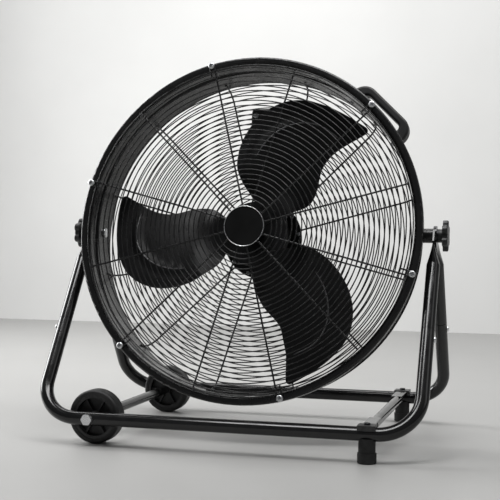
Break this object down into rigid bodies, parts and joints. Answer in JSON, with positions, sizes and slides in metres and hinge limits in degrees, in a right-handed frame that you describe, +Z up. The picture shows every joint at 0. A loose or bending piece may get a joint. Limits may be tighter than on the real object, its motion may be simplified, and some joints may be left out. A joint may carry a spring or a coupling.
{
  "type": "drum fan",
  "caption": "Floor-standing drum fan with a tilting round shroud, wire grilles and paddle blades on a bent-tube stand with transport wheels and rubber feet.",
  "frame": {"origin": "on the floor, under the middle of the tilt axis", "axes": "+X along the tilt axis towards the feet side (right seen from the front), +Y towards the back, +Z up; the fan blows towards -Y"},
  "size_m": [0.77, 0.5134, 0.7533],
  "materials": {
    "stand_paint": "semi-gloss black powder coat",
    "drum_paint": "semi-gloss black powder coat",
    "wire_paint": "satin black powder coat on welded wire",
    "blade_paint": "satin black paint on stamped sheet",
    "motor_paint": "satin black paint",
    "black_plastic": "fine-grained matte black",
    "badge_plastic": "smooth black with a bright edge",
    "switch_plastic": "moulded off-white",
    "foot_rubber": "matte black",
    "tyre_rubber": "matte black",
    "zinc_steel": "bright zinc plate",
    "bright_steel": "ground steel",
    "core_steel": "varnished laminations",
    "winding_copper": "varnished copper wire"
  },
  "bodies": {
    "stand": {"front_frame_tube": "stand_paint", "rear_frame_tube": "stand_paint", "front_left_leg": "stand_paint", "front_right_leg": "stand_paint", "rear_left_leg": "stand_paint", "rear_right_leg": "stand_paint", "cross_bar": "stand_paint", "axle_tube": "stand_paint", "leg_screws": "zinc_steel", "axle_bolt": "zinc_steel", "axle_nut": "zinc_steel", "axle_spacers": "zinc_steel", "axle_tube_plugs": "black_plastic", "front_saddle": "black_plastic", "rear_saddle": "black_plastic", "saddle_screws": "stand_paint", "front_foot": "foot_rubber", "rear_foot": "foot_rubber", "clamp_washers": "stand_paint"},
    "drum": {"drum_shroud": "drum_paint", "front_grille": "wire_paint", "rear_grille": "wire_paint", "front_grille_screws": "zinc_steel", "hub_badge": "badge_plastic", "carry_handle": "black_plastic", "handle_screws": "zinc_steel", "pivot_bolts": "zinc_steel", "pivot_spacers": "drum_paint", "motor_plate": "motor_paint", "motor_plate_screws": "zinc_steel", "motor_front_cover": "motor_paint", "motor_rear_cover": "motor_paint", "motor_flange_bolts": "zinc_steel", "stator_core": "core_steel", "stator_windings": "winding_copper", "front_bearing": "bright_steel", "rear_bearing": "bright_steel", "switch_plate": "black_plastic", "switch_housing": "black_plastic", "switch_housing_screws": "zinc_steel", "rotary_switch": "switch_plastic", "capacitor": "switch_plastic", "cable_gland": "black_plastic"},
    "impeller": {"blade_1": "blade_paint", "blade_2": "blade_paint", "blade_3": "blade_paint", "blade_hub": "blade_paint", "blade_rivets": "blade_paint", "motor_shaft": "bright_steel", "rotor_core": "core_steel", "shaft_nut": "zinc_steel"},
    "speed_knob": {"speed_knob": "black_plastic"},
    "left_clamp_knob": {"left_clamp_knob": "black_plastic"},
    "right_clamp_knob": {"right_clamp_knob": "black_plastic"},
    "front_wheel": {"front_wheel_hub": "black_plastic", "front_tyre": "tyre_rubber"},
    "rear_wheel": {"rear_wheel_hub": "black_plastic", "rear_tyre": "tyre_rubber"}
  },
  "joints": [
    {"name": "drum_tilt", "type": "hinge", "parent": "stand", "child": "drum", "pos_m": [0, 0, 0.4], "axis": [-1, 0, 0], "range_deg": [-100, 80]},
    {"name": "fan_spin", "type": "hinge", "parent": "drum", "child": "impeller", "pos_m": [0, 0, 0.4], "axis": [0, 0.9848, -0.1736], "continuous": true},
    {"name": "speed_knob_turn", "type": "hinge", "parent": "drum", "child": "speed_knob", "pos_m": [-0.003, 0.14863, 0.6214], "axis": [0, -0.9911, 0.133], "range_deg": [0, 270]},
    {"name": "left_knob_turn", "type": "hinge", "parent": "drum", "child": "left_clamp_knob", "pos_m": [-0.375, 0, 0.4], "axis": [1, 0, 0], "range_deg": [0, 360]},
    {"name": "right_knob_turn", "type": "hinge", "parent": "drum", "child": "right_clamp_knob", "pos_m": [0.375, 0, 0.4], "axis": [-1, 0, 0], "range_deg": [0, 360]},
    {"name": "front_wheel_spin", "type": "hinge", "parent": "stand", "child": "front_wheel", "pos_m": [-0.2545, -0.203, 0.051], "axis": [0, 1, 0], "continuous": true},
    {"name": "rear_wheel_spin", "type": "hinge", "parent": "stand", "child": "rear_wheel", "pos_m": [-0.2545, 0.203, 0.051], "axis": [0, 1, 0], "continuous": true}
  ]
}
